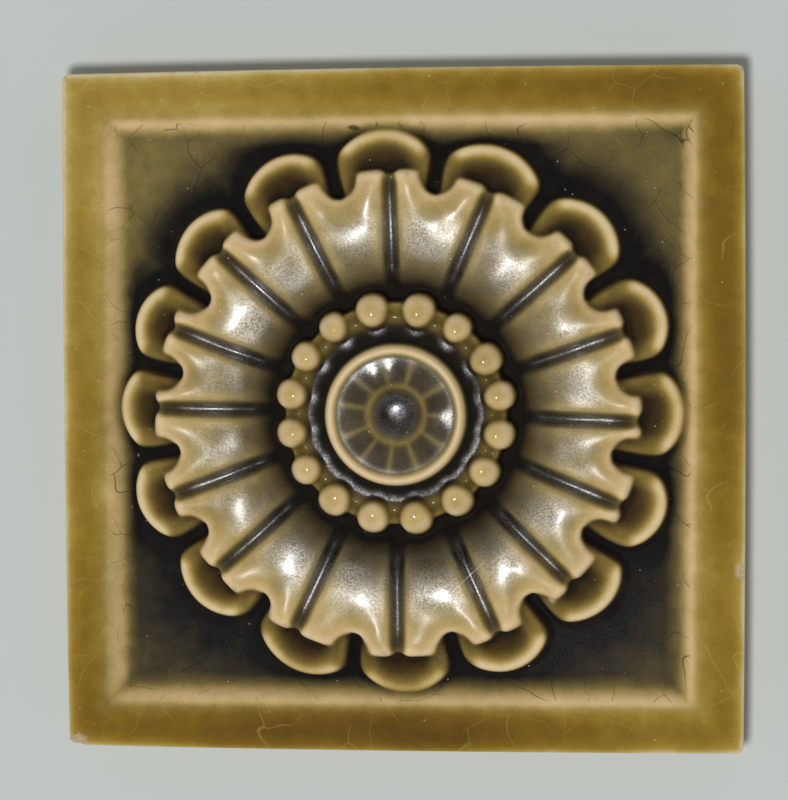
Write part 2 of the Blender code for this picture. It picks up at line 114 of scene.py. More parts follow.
# The lobes behind the petals and the beads within them
LOBES = np.array((0, 21.5, 44, 68, 93.5, 117, 139, 159.5, 179, 200, 222, 247.5, 271, 295, 317, 338))
LOBE_RADIUS = (12, 11.2, 12.4, 14, 13, 11.6, 11.5, 10.4, 11.1, 10.8, 11.6, 12.7, 11.9, 11.2, 11.8, 10.6)
LOBE_RIM_WIDTH = 1.3
LOBE_RIM_FALL = 0.5
LOBE_DISH_WIDTH = 8.0
GAP_WIDTH = 3.2
GAP_ROUND = 0.7
BEADS = np.array((
    10, 31, 54, 77, 102.5, 125.5, 147.5, 169.5, 190.5, 212, 234.5, 257.5, 281, 305.5, 327, 349,
))
BEAD_SIZE = (0.97, 1.02, 0.92, 1.06, 1.05, 0.93, 0.94, 0.98, 0.97, 0.97, 1.05, 1.03, 1.06, 1.03, 0.97, 0.97)
BEAD_HALF_WIDTH = 3.6
BEAD_TILT = 0.15
BEAD_UNEVENNESS = 0.1
WEB_SHARE = 0.35
WEB_DIP = 0.9
SHELF_WIDTH = 1.5
TOE_RISE = 0.05
TOE_INSET = 0.2
TOE_WIDTH = 1.2
TOE_HOLLOW = 10.0
RIBS = np.array((0, 32, 72, 103, 137, 168, 203, 232, 263, 292, 327), float)
DIMPLE_DEPTH = 0.35
PIT_LEAN = 0.1
PIT_HOLLOW = 2.5

# Where the saucer lies more level and mirrors the lamp, where its foot along the rim does and where
# the shelf round the channel does, as angles and widths, and how much the saucer's level places lean
LEVEL_SPOTS = ((117, 9), (97, 7), (-2, 12))
RIM_ARCS = ((248, 42), (318, 9), (23, 9), (143, 14), (180, 5))
SHELF_ARCS = ((240, 60), (330, 40))
LEVEL_LEAN = 0.035

# The rings' middles, x and y from the tile's middle
CUP_OFFSET = (-0.65, -0.1)
BEAD_OFFSET = (-1.0, -0.05)
PETAL_OFFSET = (-0.75, -0.2)
LOBE_OFFSET = (0.0, 0.2)

# The glaze: how far it rounds the relief, the width over which it gathers in hollows, how much its
# depth on the border changes round the tile, in waves given as their number, turn and strength, and
# where it lies thick over the lobes' rims, as angles and widths
GLAZE_ROUNDING = 0.28
POOL_WIDTH = 1.3
BORDER_UNEVENNESS = 0.11
BORDER_WAVES = ((1, 54, 1.0), (2, -125, 1.0), (3, -90, 0.5), (4, 0, 0.35))
DIM_LOBES = ((271, 10), (247, 6))

# A thin pale scratch across one petal, from end to end
SCRATCH = ((6.5, -44.7), (20.0, -31.9))
SCRATCH_WIDTH = 0.13

# Damage: chips as x, y, reach and depth, and worn horns as angle and radius
CHIPS = (
    (-74.3, -75.8, 2.4, 3.0),
    (76.5, -35.0, 1.9, 1.6),
    (76.3, 76.6, 1.3, 0.8),
    (-50.6, 76.4, 0.8, 0.5),
    (-45.7, 76.4, 0.7, 0.4),
)
WORN_HORNS = (
    (36, 53), (47, 51.7), (63, 53.2), (87, 53.4),
    (227, 53.6), (242, 53.6), (267, 53.4), (310, 53.6), (322, 51.7),
)
WORN_WIDTH = 0.55

# How rough the glaze is where it is dull and where it is glossy, how strongly it mirrors, how deep its
# fine ripple is, and the roughness and refraction of the silvery haze over it
DULL = 0.95
GLOSSY = 0.12
GLOSS_LEVEL = 0.3
FOIL_RELIEF = 0.012
HAZE_ROUGHNESS = 0.41
HAZE_IOR = 2.4

# How finely the surface is sampled and cut into faces, and how far out from the edges of the petals
# and of the lobes the rings of faces over them lie
GRID_STEP = 0.2
GRID_MARGIN = 3.0
COLUMNS_PER_SECTOR = 40
CENTRE_COLUMNS_SHARE = 4
OUTLINE_SAMPLES = 240
NOTCH_FLOOR = 0.6
CUSP_ROUND = 0.5
WALL_END = 0.9
PETAL_EDGE_STEPS = (-1.5, -0.9, -0.45, -0.1, 0.25, 0.6, WALL_END)
RIM_START = -1.7
LOBE_EDGE_STEPS = (RIM_START, -1.1, -0.6, -0.2, 0.15, 0.5, 0.9)

# The camera, as the photograph was taken, the key light and the floor's width
IMAGE_HEIGHT = 800
SENSOR = 36.0
FOCAL_PIXELS = 4028.0
TARGET = (-1.52, 2.88, 12.0)
VIEW_TILT = (6.0, 4.5)
VIEW_ROLL = -0.294
VIEW_DISTANCE = 900.0
KEY_PLACE = (-25.0, -95.0, 900.0)
KEY_DIAMETER = 170.0
KEY_POWER = 5.7
FLOOR_WIDTH = 2400.0

FIELD_HEIGHT = BORDER_HEIGHT - FIELD_DEPTH
PETALS = len(GROOVES)
COLUMNS = PETALS * COLUMNS_PER_SECTOR
(
    PIT_R, PIT_LIP_R, SAUCER_R, CUP_R, CUP_FOOT_R, CHANNEL_R,
    COLLAR_R, BEAD_END_R, FOOT_R, CREST_R, TIP_R, LOBE_R,
) = np.cumsum((
    PIT_WIDTH, PIT_LIP_WIDTH, SAUCER_WIDTH, CUP_INNER_WIDTH, CUP_OUTER_WIDTH, CHANNEL_WIDTH,
    COLLAR_RISE_WIDTH, BEAD_LENGTH, COLLAR_WALL_WIDTH, PETAL_SLOPE_WIDTH, PETAL_BROW_WIDTH, LOBE_REACH,
))
LEVEL_R = CREST_R + LEVEL_SHARE * PETAL_BROW_WIDTH
BEAD_R = (COLLAR_R + BEAD_END_R) / 2
BEAD_LONG = (BEAD_END_R - COLLAR_R) / 2
WEB_R = BEAD_R + BEAD_LONG * WEB_SHARE
TOE_R = COLLAR_R - TOE_INSET
NOTCH_BOTTOMS = TIP_R - np.array(NOTCH_DEPTH)
GAPS = (LOBES + np.append(LOBES[1:], LOBES[0] + 360)) / 2
BEAD_SIZES = np.array(BEAD_SIZE, float)

# The glaze's depth, from 0, thin and cream, to 1, black, as places and the depths there: inwards from
# the tile's edge, outwards from the lobes' edge over the field and its lower corners, inwards from the
# lobes' edge, and by radius on the petals, added in the grooves and in the pit
BORDER_GLAZE = (
    (0.0, 0.5, 1.0, 2.0, 4.0, 6.0, 8.0, 9.0, 10.0, 11.0, 12.0, 13.0, 14.0, 15.0),
    (0.0, 0.24, 0.38, 0.5, 0.57, 0.55, 0.47, 0.42, 0.34, 0.22, 0.17, 0.24, 0.34, 0.42),
)
FIELD_GLAZE = ((4.0, 5.6, 7.6, 9.6, 12.6, 15.3), (1.0, 0.84, 0.7, 0.58, 0.49, 0.45))
LOW_FIELD_GLAZE = ((4.0, 7.0, 12.0, 18.0), (1.05, 0.98, 0.86, 0.74))
LOBE_GLAZE = (
    (0.0, 0.5, 1.2, 1.7, 2.2, 2.7, 3.7, 4.7, 5.7),
    (0.45, 0.24, 0.17, 0.24, 0.34, 0.44, 0.62, 0.74, 0.78),
)
PETAL_GLAZE = (
    (FOOT_R, 30, 33, 36, 40, 44, 48, TIP_R),
    (0.93, 0.78, 0.62, 0.5, 0.42, 0.36, 0.29, 0.23),
)
GROOVE_GLAZE = ((FOOT_R, CREST_R, 49, TIP_R), (0.2, 0.3, 0.38, 0.5))
PIT_GLAZE = ((PIT_R - 1.2, PIT_LIP_R - 0.3, PIT_LIP_R + 0.4), (0.93, 0.42, 0.42))
RIB_GLAZE = 0.5
DIMPLE_GLAZE = 0.8
RIM_GLAZE = 0.13
CHANNEL_GLAZE = 0.95
COLLAR_FOOT_GLAZE = 0.9
WEB_GLAZE = 0.48
BEAD_GLAZE = 0.34

# How strong the silvery haze is by radius on the petals and in the cup, and the gloss in the cup
PETAL_LUSTRE = ((30, 34, 38, 43, 46, 48.5), (0.0, 0.4, 0.9, 0.9, 0.3, 0.05))
CUP_LUSTRE = ((0, PIT_R - 1, PIT_LIP_R, SAUCER_R), (1.0, 0.8, 0.1, 0.5))
CUP_GLOSS = ((PIT_R, PIT_LIP_R, SAUCER_R), (1.0, 0.2, 0.6))


def smooth(t):
    """A level start, a level end and an even climb from 0 to 1 between them."""
    t = np.clip(t, 0, 1)
    return t * t * (3 - 2 * t)


def climb(r, start, end, low, high):
    """The smooth rise from low at start to high at end."""
    return low + (high - low) * smooth((r - start) / (end - start))


def fall(r, start, end, high, low):
    """The fall from a broad round crest at start to a level foot at end."""
    return high - (high - low) * smooth(np.clip((r - start) / (end - start), 0, 1) ** 1.5)


def mixed(low, high, share):
    """The value this share of the way from low to high."""
    return low + (high - low) * share


def least(a, b, rounding):
    """The lesser of two values, with the corner between them rounded."""
    return np.minimum(a, b) - rounding * np.log1p(np.exp(-np.abs(a - b) / rounding))


def after(angles):
    """Each sector's far edge: the next of these angles, one turn on for the last."""
    return np.append(angles[1:], angles[0] + 360)


def nearest(angles, centres):
    """The turn from the nearest of these centres to each angle, and that centre's number."""
    turn = (angles[..., None] - centres + 180) % 360 - 180
    number = np.abs(turn).argmin(-1)
    return np.take_along_axis(turn, number[..., None], -1)[..., 0], number


def ring_offset(r):
    """How far the ring of radius r is off the tile's middle."""
    places = (CUP_R, COLLAR_R, BEAD_END_R, CREST_R, TIP_R, LOBE_R)
    x, y = zip(CUP_OFFSET, BEAD_OFFSET, BEAD_OFFSET, PETAL_OFFSET, PETAL_OFFSET, LOBE_OFFSET)
    return np.interp(r, places, x), np.interp(r, places, y)


def to_rosette(x, y):
    """Radius and angle of each point about the middle of the ring that it lies on."""
    r = np.hypot(x, y)
    for _ in range(4):
        dx, dy = ring_offset(r)
        r = np.hypot(x - dx, y - dy)
    return r, np.degrees(np.arctan2(y - dy, x - dx))


def corners(inset, pulls):
    """The four corners of the square this far inside the tile's edge, each with its pull."""
    half = TILE_SIDE / 2 - inset
    signs = ((1, 1), (-1, 1), (-1, -1), (1, -1))
    return np.array([(sx * half + px, sy * half + py) for (sx, sy), (px, py) in zip(signs, pulls)])


def sides(quad):
    """The outward normals of the four sides of a square, and how far out along them the sides lie."""
    run = np.roll(quad, -1, 0) - quad
    normals = np.stack([run[:, 1], -run[:, 0]], 1) / np.hypot(run[:, 0], run[:, 1])[:, None]
    return normals, (normals * quad).sum(1)


def cast(ray, quad):
    """Where these rays from the middle cross the sides of a square."""
    normals, far = sides(quad)
    return ray * np.min(far / np.clip(ray @ normals.T, 1e-9, None), 1)[:, None]


def inside_square(x, y, quad):
    """How far inside the sides of this square each point is."""
    normals, far = sides(quad)
    return np.min([f - n[0] * x - n[1] * y for n, f in zip(normals, far)], 0)


def cup_height(r, angles):
    """The pit, its lip, the dimpled saucer and the cup's rim, down to the channel round it."""
    out = np.clip(r / PIT_LIP_R, 0, 1)
    pit = PIT_RISE + (PIT_LIP_RISE - PIT_RISE) * out**PIT_HOLLOW
    pit -= PIT_LEAN * r * np.sin(np.radians(angles)) * (1 - out**2)
    along = np.clip((r - PIT_LIP_R) / (SAUCER_R - PIT_LIP_R), 0, 1)
    level = near_angles(angles, LEVEL_SPOTS)
    steep = np.clip(1 - along * (1 + 0.9 * level), 0, 1)
    saucer = SAUCER_RISE - (SAUCER_RISE - PIT_LIP_RISE) * steep**2
    saucer -= LEVEL_LEAN * level * (SAUCER_R - r)
    saucer -= DIMPLE_DEPTH * (1 - level) * across_ribs(angles) * np.sin(math.pi * along) ** 2
    rim = fall(-r, -CUP_R, -SAUCER_R, CUP_RISE, SAUCER_RISE)
    channel = CHANNEL_RISE + CHANNEL_LEAN * (CHANNEL_R - np.clip(r, CUP_FOOT_R, CHANNEL_R))
    outside = fall(r, CUP_R, CUP_FOOT_R, CUP_RISE, channel)
    inner = np.where(r < PIT_LIP_R, pit, np.where(r < SAUCER_R, saucer, rim))
    return np.where(r < CUP_R, inner, outside)


def near_angles(angles, places):
    """1 in the middle of each of these places, given as angles and widths, down to 0 far from them."""
    found = np.zeros(np.shape(angles))
    for middle, width in places:
        found = np.maximum(found, np.exp(-((((angles - middle + 180) % 360 - 180) / width) ** 2)))
    return found


def across_ribs(angles):
    """From 0 on a rib of the saucer to 1 in the middle of a dimple."""
    place = np.mod(angles - RIBS[0], 360) + RIBS[0]
    share = np.interp(place, np.append(RIBS, RIBS[0] + 360), np.arange(len(RIBS) + 1))
    return np.abs(np.sin(math.pi * share))


def bead_side(angles):
    """How far to the side of the nearest bead's middle each angle is, in halves of its width."""
    turn, _ = nearest(angles, BEADS)
    return BEAD_R * np.radians(turn) / BEAD_HALF_WIDTH


def bead_dome(r, angles):
    """1 on top of the nearest bead, 0 round its edge and less than that beyond it."""
    _, number = nearest(angles, BEADS)
    return 1 - (bead_side(angles) ** 2 + ((r - BEAD_R) / BEAD_LONG) ** 2) / BEAD_SIZES[number] ** 2


def from_toe(r, angles):
    """How far each point is from the level spot at the inner foot of the nearest bead."""
    turn, _ = nearest(angles, BEADS)
    return np.hypot(r - TOE_R, TOE_R * np.radians(turn))


def collar_outline(angles):
    """The beads' outer ends, joined by the web between them."""
    _, number = nearest(angles, BEADS)
    bead = BEAD_R + BEAD_LONG * np.sqrt(np.clip(BEAD_SIZES[number] ** 2 - bead_side(angles) ** 2, 0, None))
    return np.maximum(WEB_R, bead)


def collar_height(r, angles):
    """The collar that rises from the channel, hollow between the beads that stand on it."""
    collar = climb(r, CHANNEL_R + SHELF_WIDTH, COLLAR_R + 0.5 * BEAD_LONG, CHANNEL_RISE, COLLAR_RISE)
    collar -= climb(r, BEAD_R, BEAD_END_R, 0, COLLAR_RISE - BEAD_EDGE_RISE)
    side = bead_side(angles)
    collar -= WEB_DIP * smooth((np.abs(side) - 0.6) / 0.8) * smooth((r - COLLAR_R) / BEAD_LONG)
    away = from_toe(r, angles)
    toe = CHANNEL_RISE + TOE_RISE + away**2 / (2 * TOE_HOLLOW)
    collar = mixed(collar, toe, smooth(1.6 - away / TOE_WIDTH))
    dome = np.sqrt(np.clip(bead_dome(r, angles), 0, 1))
    bead = BEAD_EDGE_RISE + (BEAD_RISE - BEAD_EDGE_RISE) * dome - BEAD_TILT * (r - BEAD_R) * (dome > 0)
    return np.maximum(collar, np.where(dome > 0, bead, 0))


def notch_line(aside, bottom, out):
    """The radius at which a notch's edge, moved out by this much, crosses a line this far aside of it."""
    centre = bottom + NOTCH_RADIUS
    radius = NOTCH_RADIUS - out
    side = np.abs(aside) / radius
    bite = centre - radius * np.sqrt(np.clip(1 - side**2, 0, 1))
    return np.where(side < 1, bite, centre + (side - 1) * radius / NOTCH_FLARE)


def tip_line(angles):
    """How far out the petals' tips reach: less where a groove runs out between two of them."""
    return TIP_R - GROOVE_MOUTH * np.exp(-((side_of_petal(TIP_R, angles) / GROOVE_MOUTH_WIDTH) ** 2))


def petal_line(angles, out):
    """The petals' outer edge moved outwards by this much."""
    turn, number = nearest(angles, NOTCHES)
    notch = notch_line(TIP_R * np.radians(turn), NOTCH_BOTTOMS[number], out)
    return least(notch, tip_line(angles) + out, TIP_ROUND)


def inside_petals(r, angles):
    """How far inside the petals' edge each point is."""
    turn, number = nearest(angles, NOTCHES)
    aside = TIP_R * np.radians(turn)
    up = np.minimum(r - NOTCH_BOTTOMS[number] - NOTCH_RADIUS, 0)
    to_notch = np.hypot(up, aside) - NOTCH_RADIUS
    return least(tip_line(angles) - r, to_notch, TIP_ROUND)


def petal_height(r, angles, inside):
    """The petals: up from the foot to a gentle brow, on along the horns and down into each notch."""
    from_notch, number = nearest(angles, NOTCHES)
    from_groove, _ = nearest(angles, GROOVES)
    aside = np.abs(from_notch) / (np.abs(from_notch) + np.abs(from_groove))
    slope = np.clip((r - FOOT_R) / (LEVEL_R - FOOT_R), 0, 1)
    steep = np.clip((r - FOOT_R) / STEEP_WIDTH, 0, 1)
    height = FOOT_RISE + STEEP_RISE * (1 - (1 - steep) ** 3)
    height += (PETAL_RISE - FOOT_RISE - STEEP_RISE) * (1 - (1 - slope) ** 2)
    horns = smooth((r - CREST_R) / (NOTCH_BOTTOMS[number] - CREST_R))
    height -= PETAL_BULGE * aside**2 * (1 - horns)
    height -= BROW_DIP * horns * (1 - smooth(aside / HORN_SHARE))
    height -= HORN_ROUND * horns * (2 * across_horn(r, angles, inside) - 1) ** 2
    wall = (side_of_petal(r, angles) - GROOVE_FLOOR) / (GROOVE_HALF_WIDTH - GROOVE_FLOOR)
    height -= GROOVE_DEPTH * (1 - smooth(wall)) * smooth(slope / GROOVE_START)
    return height - EDGE_FALL * (1 - np.clip(inside / EDGE_ROUND, 0, 1)) ** 2


def across_horn(r, angles, inside):
    """From 0 at a horn's edge beside the notch to 1 at its edge beside the groove."""
    to_groove = np.clip(side_of_petal(r, angles) - GROOVE_HALF_WIDTH / 2, 0, None)
    to_notch = np.clip(inside, 0, None)
    return to_notch / (to_notch + to_groove + 0.01)


def inside_lobes(r, angles):
    """How far inside the edge of the nearest lobe each point is."""
    turn = np.radians(angles)
    x, y = r * np.cos(turn), r * np.sin(turn)
    found = np.full(np.shape(r), -TILE_SIDE)
    for lobe, radius in zip(np.radians(LOBES), LOBE_RADIUS):
        centre = LOBE_R - radius
        found = np.maximum(found, radius - np.hypot(x - centre * np.cos(lobe), y - centre * np.sin(lobe)))
    to_gap, _ = nearest(angles, GAPS)
    return least(found, r * np.abs(np.radians(to_gap)) - GAP_WIDTH / 2, GAP_ROUND)


def lobe_line(angles, out):
    """The lobes' scalloped edge moved outwards by this much."""
    found = 0
    for lobe, radius in zip(LOBES, LOBE_RADIUS):
        turn = np.radians((angles - lobe + 180) % 360 - 180)
        centre = LOBE_R - radius
        chord = (radius + out) ** 2 - (centre * np.sin(turn)) ** 2
        reach = centre * np.cos(turn) + np.sqrt(np.clip(chord, 0, None))
        found = found + np.exp((reach - LOBE_R) / CUSP_ROUND)
    line = LOBE_R + CUSP_ROUND * np.log(found)
    return np.maximum(line, petal_line(angles, WALL_END) + NOTCH_FLOOR + 0.2 * (out - RIM_START))


def mouth_line(angles):
    """A line round the petals' feet that bridges the notches, as far as the lobes' rims leave room."""
    bridged_r = np.minimum(TIP_R + 1.3, lobe_line(angles, RIM_START) - NOTCH_FLOOR)
    return np.maximum(petal_line(angles, WALL_END) + NOTCH_FLOOR / 3, bridged_r)


def lobe_height(inside):
    """The lobes: each a shallow dish that rises to a rounded rim."""
    up = climb(-inside, -LOBE_DISH_WIDTH, -LOBE_RIM_WIDTH, DISH_RISE, LOBE_RISE)
    return up - LOBE_RIM_FALL * np.clip(1 - inside / LOBE_RIM_WIDTH, 0, 1) ** 2


def frame_height(in_field):
    """The border's top, the shoulder inside it and the floor of the field."""
    return FIELD_DEPTH * (1 - smooth(in_field / SHOULDER_WIDTH))


class Grid:
    """Values over the tile's face at an even step, and what is read from them."""

    def __init__(self):
        half = TILE_SIDE / 2 + GRID_MARGIN
        self.start = -half
        self.axis = np.arange(-half, half + GRID_STEP / 2, GRID_STEP)
        self.x, self.y = np.meshgrid(self.axis, self.axis)

    def blurred(self, values, width):
        """The values smoothed by a bell curve of this width in millimetres."""
        pad = int(3 * width / GRID_STEP) + 1
        padded = np.pad(values, pad, mode="edge")
        wave_y = np.fft.fftfreq(padded.shape[0], GRID_STEP)[:, None]
        wave_x = np.fft.rfftfreq(padded.shape[1], GRID_STEP)
        keep = np.exp(-2 * (math.pi * width) ** 2 * (wave_x**2 + wave_y**2))
        back = np.fft.irfft2(np.fft.rfft2(padded) * keep, padded.shape)
        return back[pad:-pad, pad:-pad]

    def noise(self, seed, width):
        """Even random unevenness of about this size across, from about -1 to 1."""
        random = np.random.default_rng(seed).standard_normal(self.x.shape)
        found = self.blurred(random, width)
        return found / (2 * found.std())

    def read(self, values, x, y):
        """The values at these places, between the grid's points."""
        column = np.clip((x - self.start) / GRID_STEP, 0, len(self.axis) - 1.001)
        row = np.clip((y - self.start) / GRID_STEP, 0, len(self.axis) - 1.001)
        i, j = row.astype(int), column.astype(int)
        u, v = row - i, column - j
        low = mixed(values[i, j], values[i, j + 1], v)
        high = mixed(values[i + 1, j], values[i + 1, j + 1], v)
        return mixed(low, high, u)


class Face:
    """Where each point of the grid lies among the tile's forms, in millimetres and degrees."""

    def __init__(self, grid):
        self.r, self.angles = to_rosette(grid.x, grid.y)
        self.in_field = inside_square(grid.x, grid.y, corners(BORDER_WIDTH, INNER_PULL))
        self.in_lobes = inside_lobes(self.r, self.angles)
        self.in_petals = inside_petals(self.r, self.angles)
        self.from_groove = side_of_petal(self.r, self.angles)
        self.past_collar = self.r - collar_outline(self.angles)

    def joined(self, petal, lobe, ground, collar, cup):
        """One value over the whole face, from each form's own."""
        value = mixed(lobe, ground, smooth(-self.in_lobes / WALL_SLOPE_WIDTH))
        value = mixed(petal, value, smooth(-self.in_petals / WALL_SLOPE_WIDTH))
        value = mixed(collar, value, smooth(self.past_collar / COLLAR_WALL_WIDTH))
        return np.where(self.r < CHANNEL_R, cup, value)


def relief(grid, face):
    """Heights above the back over the whole grid, before the glaze rounds them."""
    petals = petal_height(face.r, face.angles, face.in_petals) + PETAL_UNEVENNESS * grid.noise(8, 2.2)
    lobes = lobe_height(face.in_lobes)
    ground = frame_height(face.in_field)
    collar = collar_height(face.r, face.angles) + BEAD_UNEVENNESS * grid.noise(9, 1.2)
    cup = cup_height(face.r, face.angles)
    return FIELD_HEIGHT + face.joined(petals, lobes, ground, collar, cup)


def chip_height(x, y):
    """The most that the chips leave standing at each point of the tile's face and sides."""
    left = np.full(np.shape(x), 2 * BORDER_HEIGHT)
    for chip_x, chip_y, reach, depth in CHIPS:
        far = np.hypot(x - chip_x, y - chip_y) / reach
        left = np.where(far < 1, np.minimum(left, BORDER_HEIGHT - depth * (1 - far**2)), left)
    return left


def side_of_petal(r, angles):
    """How far each point is to the side of the nearest groove's middle, in millimetres."""
    turn, _ = nearest(angles, GROOVES)
    return np.abs(r * np.radians(turn))


def ground_glaze(grid, face):
    """Amber on the border, thin on the shoulder's edge, olive in the field and black by the lobes."""
    bow_x, bow_y = bow(grid.x, grid.y)
    in_tile = inside_square(grid.x - bow_x, grid.y - bow_y, corners(0, OUTER_PULL))
    turn = np.arctan2(grid.y, grid.x)
    uneven = np.zeros(turn.shape)
    for count, start, strength in BORDER_WAVES:
        uneven += strength * np.cos(count * turn + math.radians(start))
    border = np.interp(in_tile, *BORDER_GLAZE)
    border += BORDER_UNEVENNESS * uneven * smooth((11 - in_tile) / 4)
    out = -face.in_lobes + 1.2 * grid.noise(11, 2.5)
    field = np.interp(out, *FIELD_GLAZE)
    field += 0.06 * smooth((grid.x - 5) / 20) * smooth((grid.y - 10) / 20)
    field = mixed(field, np.interp(out, *LOW_FIELD_GLAZE), low_corner(grid))
    return mixed(border, field, smooth((face.in_field - 3) / (SHOULDER_WIDTH - 1)))


def low_corner(grid):
    """From 0 over most of the field to 1 in its lower corners, where the glaze has run together."""
    return smooth((-grid.y - 18) / 30) * smooth((np.abs(grid.x + 6) - 14) / 22)


def petal_glaze(grid, face):
    """Dark at the foot and along the grooves, cream along the horns."""
    r, from_groove = face.r, face.from_groove
    depth = np.interp(r, *PETAL_GLAZE)
    depth += 0.16 * smooth((-grid.y - 12) / 20) * smooth((CREST_R - 1 - r) / 8)
    depth += smooth((GROOVE_HALF_WIDTH - from_groove) / 1.8) * np.interp(r, *GROOVE_GLAZE)
    beside = np.exp(-(((from_groove - 3.2) / 1.2) ** 2))
    depth -= (0.1 * beside - 0.04) * smooth((r - 32) / 4) * smooth((47 - r) / 5)
    return depth - 0.12 * (1 - smooth((face.in_petals - 0.2) / 1.2))


def lobe_glaze(face):
    """Cream on the rims, fading to dark olive in the dishes and to black down towards the gaps."""
    r, angles, in_lobes = face.r, face.angles, face.in_lobes
    depth = np.interp(in_lobes, *LOBE_GLAZE)
    depth += 0.06 * np.cos(np.radians(angles - 60)) * smooth((in_lobes - 1.5) / 2)
    depth += near_angles(angles, DIM_LOBES) * mixed(0.22, 0.1, smooth((in_lobes - 1) / 3))
    to_gap, _ = nearest(angles, GAPS)
    beside_gap = smooth((5.5 - r * np.abs(np.radians(to_gap))) / 3)
    return depth + 0.5 * beside_gap * smooth((LOBE_R - 2.2 - r) / 3)


def collar_glaze(r, angles):
    """Cream beads with amber edges, amber-brown hollows between them and a dark channel."""
    bead = smooth((bead_dome(r, angles) + 0.1) / 0.4)
    web = mixed(COLLAR_FOOT_GLAZE, WEB_GLAZE, smooth((r - COLLAR_R + 0.8) / 1.6))
    web += 0.15 * smooth((r - WEB_R + 0.8) / 0.8)
    return mixed(web, BEAD_GLAZE, bead)


def cup_glaze(r, angles):
    """A black pit, amber ribs round dark dimples, and a cream rim."""
    along = smooth((r - PIT_LIP_R) / 1.4) * smooth((SAUCER_R - r) / 1.6)
    saucer = mixed(RIB_GLAZE, DIMPLE_GLAZE, smooth(2.4 * across_ribs(angles) - 0.3) * along)
    depth = mixed(np.interp(r, *PIT_GLAZE), saucer, smooth((r - PIT_LIP_R) / 0.8))
    depth = mixed(depth, RIM_GLAZE, smooth((r - SAUCER_R + 0.2) / 0.7))
    return mixed(depth, CHANNEL_GLAZE, smooth((r - CUP_R - 0.6) / 1.5))


def glaze_depth(grid, face, height):
    """How deep the glaze lies: each form's own depth, more of it in hollows, and uneven."""
    depth = face.joined(
        petal_glaze(grid, face),
        lobe_glaze(face),
        ground_glaze(grid, face),
        collar_glaze(face.r, face.angles),
        cup_glaze(face.r, face.angles),
    )
    hollow = grid.blurred(height, POOL_WIDTH) - height
    return depth + 0.2 * hollow + 0.05 * grid.noise(5, 5.0) + 0.03 * grid.noise(6, 1.6)


def glaze_warmth(face):
    """How golden the glaze is: wholly on the border, partly on the lobes and hardly elsewhere."""
    return face.joined(0.1, 0.4, 1 - smooth((face.in_field + 3) / 4), 0.2, 0.1)


def on_toes(face):
    """1 on the level spots at the beads' inner feet, down to 0 away from them."""
    return np.exp(-((from_toe(face.r, face.angles) / TOE_WIDTH) ** 2))


def along_grooves(grid, face):
    """Up to 1 in patches along the petals' grooves, down to 0 away from them."""
    found = np.exp(-((face.from_groove / 1.4) ** 2))
    found *= smooth((face.r - 34) / 6) * smooth((TIP_R - 4 - face.r) / 4)
    return found * np.clip(0.8 + 0.8 * grid.noise(12, 3.0), 0.1, 1)


def within_cup(face, value):
    """A value kept inside the cup and raised where the saucer and the rim's foot mirror the lamp."""
    spots = near_angles(face.angles, LEVEL_SPOTS) * smooth((face.r - PIT_LIP_R - 1) / 3)
    arcs = 0.3 + 0.7 * near_angles(face.angles, RIM_ARCS)
    arcs *= np.exp(-(((face.r - SAUCER_R + 0.4) / 0.8) ** 2))
    bright = np.maximum(spots, arcs)
    return np.maximum(value, bright) * smooth((CUP_R - 0.2 - face.r) / 0.5)


def glaze_lustre(grid, face, patches, grooves):
    """How strong the silvery haze is: on petals, in grooves, in the cup and round the channel."""
    r = face.r
    petals = np.maximum(patches * np.interp(r, *PETAL_LUSTRE), grooves)
    low_field = 0.015 * low_corner(grid) * smooth((face.in_field - SHOULDER_WIDTH) / 3)
    shelf = near_angles(face.angles, SHELF_ARCS) * smooth(r - CHANNEL_R)
    channel = np.maximum(on_toes(face), 0.6 * shelf)
    collar = channel * (1 - smooth(r - COLLAR_R))
    mottled = np.clip(0.6 + 0.8 * grid.noise(13, 0.7), 0, 1)
    cup = np.interp(r, *CUP_LUSTRE) * mixed(1.0, mottled, smooth((r - 0.8) / 1.5))
    return face.joined(petals, 0.0, low_field, collar, within_cup(face, cup) + channel)


def glaze_gloss(face, patches, grooves):
    """How sharply the glaze mirrors: on petals, along horns, in grooves, on beads and in the cup."""
    r = face.r
    ridge = np.exp(-(((2 * across_horn(r, face.angles, face.in_petals) - 1) / 0.4) ** 2))
    ridge *= smooth((TIP_R - 1.5 - r) / 2)
    petals = patches * mixed(1.0, ridge, smooth((r - 43) / 2.5)) * smooth((r - 31) / 3)
    petals = np.maximum(petals, 0.5 * grooves)
    toes = on_toes(face)
    beads = mixed(toes, 1.0, smooth(r - COLLAR_R - 0.5))
    cup = np.maximum(within_cup(face, np.interp(r, *CUP_GLOSS)), toes)
    return face.joined(petals, 0.0, 0.0, beads, cup)


def glaze_layers(grid, face, height):
    """What the glaze is like over the face: its depth, warmth, lustre and gloss, and where it is off."""
    depth = glaze_depth(grid, face, height)
    patches = np.clip(0.8 + 0.5 * grid.noise(10, 2.0), 0.2, 1)
    grooves = along_grooves(grid, face)
    lustre = glaze_lustre(grid, face, patches, grooves)
    gloss = glaze_gloss(face, patches, grooves)
    return {
        "glaze": np.clip(grid.blurred(depth, 0.25), 0, 1),
        "warmth": grid.blurred(glaze_warmth(face), 0.5),
        "lustre": np.clip(grid.blurred(lustre, 0.4), 0, 1),
        "gloss": np.clip(grid.blurred(gloss, 0.4), 0, 1),
        "bare": bare_clay(grid, face, height),
    }


